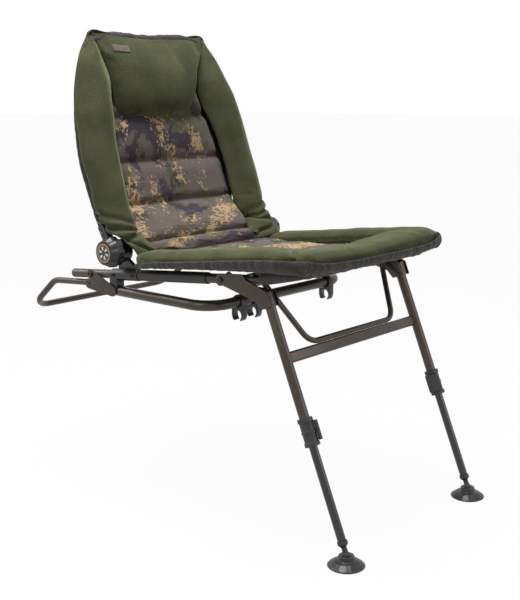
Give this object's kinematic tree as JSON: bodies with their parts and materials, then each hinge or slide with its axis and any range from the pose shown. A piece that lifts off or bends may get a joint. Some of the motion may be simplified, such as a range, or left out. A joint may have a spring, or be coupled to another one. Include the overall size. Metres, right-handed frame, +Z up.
{
  "type": "clip-on folding fishing chair",
  "caption": "Reclining padded fishing chair that clips onto a bedchair rail, with telescopic front legs, fold-away rear bar and camouflage and mesh padding on a tube frame.",
  "frame": {"origin": "axis of the bedchair rail that the clips grip, in the chair's middle plane", "axes": "+Z up with the feet below at -0.467 m, the chair faces -Y, +X is the sitter's left"},
  "size_m": [0.6162, 1.0926, 1.1186],
  "materials": {
    "bronze_coat": "satin powder coat",
    "bronze_sleeve": "satin plastic sleeve",
    "gloss_black_coat": "gloss coat",
    "bolt_steel": "satin",
    "black_plastic": "satin moulded",
    "dial_plastic": "printed face",
    "green_mesh": "air mesh",
    "camouflage_fabric": "printed weave",
    "dark_fabric": "plain weave"
  },
  "bodies": {
    "seat": {"seat_frame": "bronze_coat", "rail_sleeve_right": "bronze_sleeve", "rail_sleeve_left": "bronze_sleeve", "front_pocket": "dark_fabric", "seat_pad": "camouflage_fabric", "seat_bolster_right": "green_mesh", "seat_bolster_left": "green_mesh", "seat_bolster_front": "green_mesh", "hub_clamp_right": "black_plastic", "hub_clamp_left": "black_plastic", "hub_bolt_front_right": "bolt_steel", "hub_bolt_rear_right": "bolt_steel", "hub_bolt_front_left": "bolt_steel", "hub_bolt_rear_left": "bolt_steel", "recliner_axle_right": "bolt_steel", "recliner_axle_left": "bolt_steel", "leg_pivot_bolt_right": "bolt_steel", "leg_pivot_bolt_left": "bolt_steel", "cradle_bolt_right": "bolt_steel", "cradle_bolt_left": "bolt_steel", "brace_clip_right": "black_plastic", "brace_clip_left": "black_plastic"},
    "backrest": {"back_frame": "bronze_coat", "hub_disc_right": "black_plastic", "hub_disc_left": "black_plastic", "back_pad": "camouflage_fabric", "back_cover": "dark_fabric", "back_wing_right": "green_mesh", "back_wing_left": "green_mesh", "headrest": "green_mesh"},
    "knob_right": {"knob_right": "black_plastic", "knob_dial_right": "dial_plastic"},
    "knob_left": {"knob_left": "black_plastic", "knob_dial_left": "dial_plastic"},
    "leg_frame": {"leg_bracket_right": "bronze_coat", "leg_bracket_left": "bronze_coat", "upper_leg_right": "bronze_coat", "upper_leg_left": "bronze_coat", "leg_crossbar": "bronze_coat", "leg_brace": "bronze_coat", "leg_lock_right": "black_plastic", "leg_lock_left": "black_plastic"},
    "lock_lever_right": {"lock_lever_right": "black_plastic"},
    "lock_lever_left": {"lock_lever_left": "black_plastic"},
    "lower_leg_right": {"lower_leg_right": "gloss_black_coat", "ankle_right": "black_plastic"},
    "lower_leg_left": {"lower_leg_left": "gloss_black_coat", "ankle_left": "black_plastic"},
    "foot_right": {"foot_right": "black_plastic"},
    "foot_left": {"foot_left": "black_plastic"},
    "cradle": {"bow": "bronze_coat", "bow_plate_right": "bronze_coat", "bow_plate_left": "bronze_coat", "stop_pad_right": "black_plastic", "stop_pad_left": "black_plastic"},
    "clip_right": {"clip_right": "black_plastic"},
    "clip_middle": {"clip_middle": "black_plastic"},
    "clip_left": {"clip_left": "black_plastic"},
    "rear_bar": {"rear_bar": "bronze_coat"}
  },
  "joints": [
    {"name": "back_recline", "type": "hinge", "parent": "seat", "child": "backrest", "pos_m": [0, 0.28993, 0.13299], "axis": [1, 0, 0], "range_deg": [-55, 71]},
    {"name": "knob_turn_right", "type": "hinge", "parent": "seat", "child": "knob_right", "pos_m": [-0.285, 0.28993, 0.13299], "axis": [1, 0, 0], "continuous": true},
    {"name": "knob_turn_left", "type": "hinge", "parent": "seat", "child": "knob_left", "pos_m": [0.285, 0.28993, 0.13299], "axis": [1, 0, 0], "continuous": true},
    {"name": "leg_fold", "type": "hinge", "parent": "seat", "child": "leg_frame", "pos_m": [0, -0.048, 0.105], "axis": [1, 0, 0], "range_deg": [0, 95]},
    {"name": "lever_right", "type": "hinge", "parent": "leg_frame", "child": "lock_lever_right", "pos_m": [-0.23998, -0.30317, -0.18824], "axis": [0, -0.3859, -0.9225], "range_deg": [0, 90]},
    {"name": "leg_slide_right", "type": "slide", "parent": "leg_frame", "child": "lower_leg_right", "axis": [0, 0.3859, 0.9225], "range_m": [-0.09, 0.15]},
    {"name": "foot_tilt_right", "type": "hinge", "parent": "lower_leg_right", "child": "foot_right", "pos_m": [-0.25, -0.38996, -0.44298], "axis": [1, 0, 0], "range_deg": [-20, 20]},
    {"name": "lever_left", "type": "hinge", "parent": "leg_frame", "child": "lock_lever_left", "pos_m": [0.23998, -0.30317, -0.18824], "axis": [0, 0.3859, 0.9225], "range_deg": [0, 90]},
    {"name": "leg_slide_left", "type": "slide", "parent": "leg_frame", "child": "lower_leg_left", "axis": [0, 0.3859, 0.9225], "range_m": [-0.09, 0.15]},
    {"name": "foot_tilt_left", "type": "hinge", "parent": "lower_leg_left", "child": "foot_left", "pos_m": [0.25, -0.38996, -0.44298], "axis": [1, 0, 0], "range_deg": [-20, 20]},
    {"name": "bow_rock", "type": "hinge", "parent": "seat", "child": "cradle", "pos_m": [0, 0.39218, 0.06494], "axis": [-1, 0, 0], "range_deg": [-2, 0]},
    {"name": "clip_swivel_right", "type": "hinge", "parent": "cradle", "child": "clip_right", "pos_m": [-0.15, 0, 0.032], "axis": [-1, 0, 0], "range_deg": [-60, 60]},
    {"name": "clip_swivel_middle", "type": "hinge", "parent": "cradle", "child": "clip_middle", "pos_m": [-0.098, 0, 0.032], "axis": [-1, 0, 0], "range_deg": [-60, 60]},
    {"name": "clip_swivel_left", "type": "hinge", "parent": "cradle", "child": "clip_left", "pos_m": [0.18, 0, 0.032], "axis": [-1, 0, 0], "range_deg": [-60, 60]},
    {"name": "rear_bar_fold", "type": "hinge", "parent": "cradle", "child": "rear_bar", "pos_m": [0, 0.4, 0.041], "axis": [1, 0, 0], "range_deg": [-150, 0]}
  ]
}
